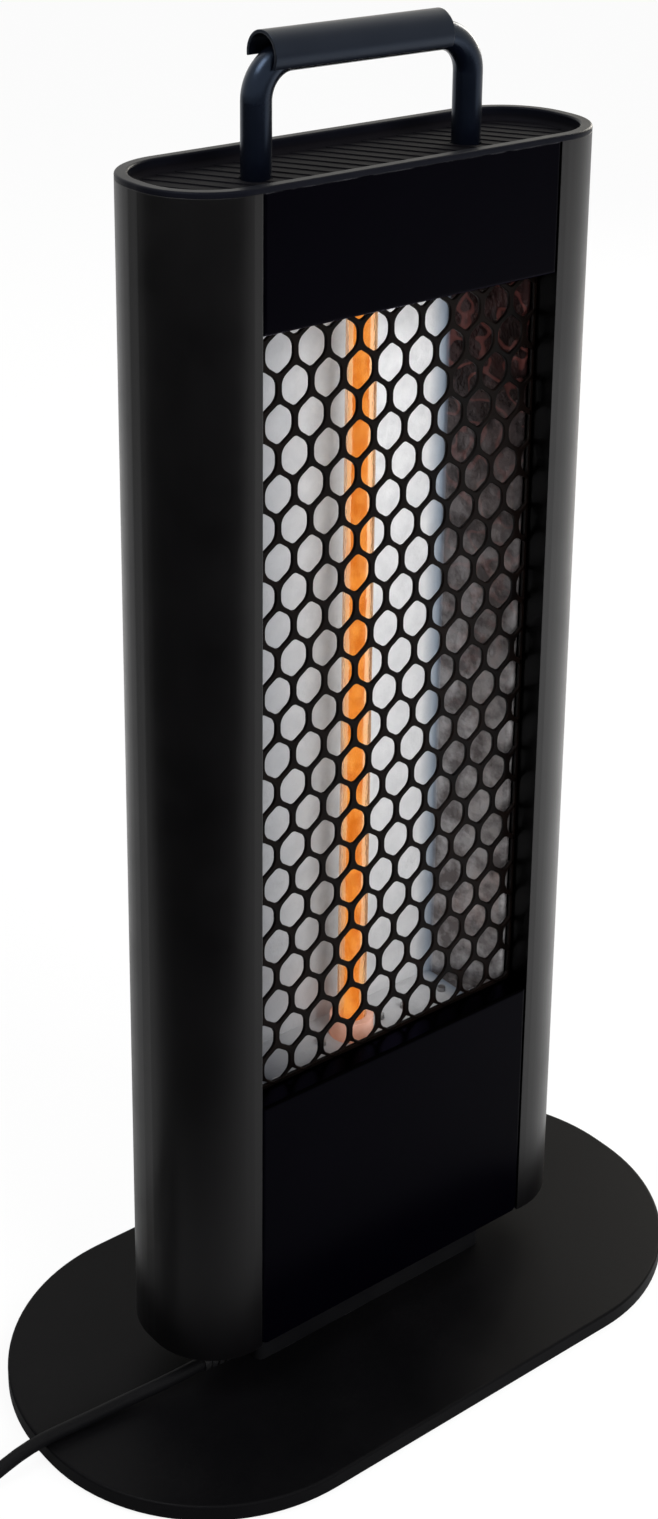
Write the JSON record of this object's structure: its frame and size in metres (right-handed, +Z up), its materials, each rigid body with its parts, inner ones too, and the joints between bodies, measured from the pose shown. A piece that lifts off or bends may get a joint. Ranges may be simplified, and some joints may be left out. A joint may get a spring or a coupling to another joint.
{
  "type": "tabletop patio heater",
  "caption": "Upright infrared heater with a flat round-ended casing, hexagon-mesh window, glowing quartz tube, bail handle with grip, and an oval weighted base plate.",
  "frame": {"origin": "on the table, under the middle of the base plate", "axes": "+Z up, +X to the right along the casing's width, +Y from the front window to the back"},
  "size_m": [0.4712, 0.2055, 0.6382],
  "materials": {
    "casing_paint": "satin black powder coat",
    "cover_paint": "semi-gloss black paint",
    "cap_paint": "satin black paint",
    "handle_paint": "semi-gloss black paint",
    "grip_plastic": "satin moulded black",
    "base_paint": "satin charcoal powder coat",
    "stand_paint": "satin black paint",
    "ballast_steel": "bare plate",
    "foot_rubber": "moulded rubber",
    "grille_paint": "heat-proof black paint",
    "reflector_sheet": "bright rolled sheet",
    "zinc_sheet": "zinc-plated sheet",
    "screw_steel": "blackened zinc",
    "weight_brass": "turned",
    "quartz": "fused quartz, glowing in use",
    "carbon": "carbon core, glowing in use",
    "lead_wire": "nickel wire",
    "ceramic": "unglazed steatite",
    "terminal_plastic": "moulded",
    "terminal_brass": "stamped brass",
    "cutout_shell": "pressed cup",
    "switch_plastic": "moulded black",
    "wire_sleeve": "silicone sleeve",
    "cord_jacket": "matt black jacket",
    "cord_moulding": "moulded black"
  },
  "bodies": {
    "heater": {"side_profile_left": "casing_paint", "side_profile_right": "casing_paint", "front_cover_upper": "cover_paint", "front_cover_lower": "cover_paint", "rear_cover": "cover_paint", "top_cap": "cap_paint", "bottom_cap": "cap_paint", "handle_bar": "handle_paint", "handle_grip": "grip_plastic", "base_cover": "base_paint", "stand_block": "stand_paint", "base_ballast": "ballast_steel", "base_feet": "foot_rubber", "front_grille": "grille_paint", "reflector": "reflector_sheet", "reflector_end_upper": "reflector_sheet", "reflector_end_lower": "reflector_sheet", "crossplate_upper": "zinc_sheet", "crossplate_lower": "zinc_sheet", "heat_shield": "zinc_sheet", "handle_bracket": "zinc_sheet", "element_clips": "zinc_sheet", "tilt_frame": "zinc_sheet", "stand_bolts": "screw_steel", "end_screws": "screw_steel", "rear_screws": "screw_steel", "cap_screws": "screw_steel", "cover_screws": "screw_steel", "side_screws": "screw_steel", "clip_screws": "screw_steel", "block_screws": "screw_steel", "cutout_screws": "screw_steel", "handle_washers": "screw_steel", "handle_nuts": "screw_steel", "tilt_pin": "screw_steel", "quartz_tube": "quartz", "carbon_core": "carbon", "element_leads": "lead_wire", "ceramic_cap_upper": "ceramic", "ceramic_cap_lower": "ceramic", "terminal_block": "terminal_plastic", "tilt_contact": "terminal_plastic", "terminal_screws": "terminal_brass", "switch_tabs": "terminal_brass", "plug_blades": "terminal_brass", "thermal_cutout": "cutout_shell", "switch_housing": "switch_plastic", "supply_wires": "wire_sleeve", "power_cord": "cord_jacket", "cord_coil": "cord_jacket", "inlet_cable": "cord_jacket", "strain_relief": "cord_moulding", "plug_body": "cord_moulding"},
    "rocker": {"power_rocker": "switch_plastic"},
    "pendulum": {"tilt_weight": "weight_brass"}
  },
  "joints": [
    {"name": "rocker_turn", "type": "hinge", "parent": "heater", "child": "rocker", "pos_m": [0, 0.036, 0.1225], "axis": [1, 0, 0], "range_deg": [-20, 0]},
    {"name": "tilt_swing", "type": "hinge", "parent": "heater", "child": "pendulum", "pos_m": [-0.068, 0, 0.0671], "axis": [1, 0, 0], "range_deg": [-15, 15]}
  ]
}
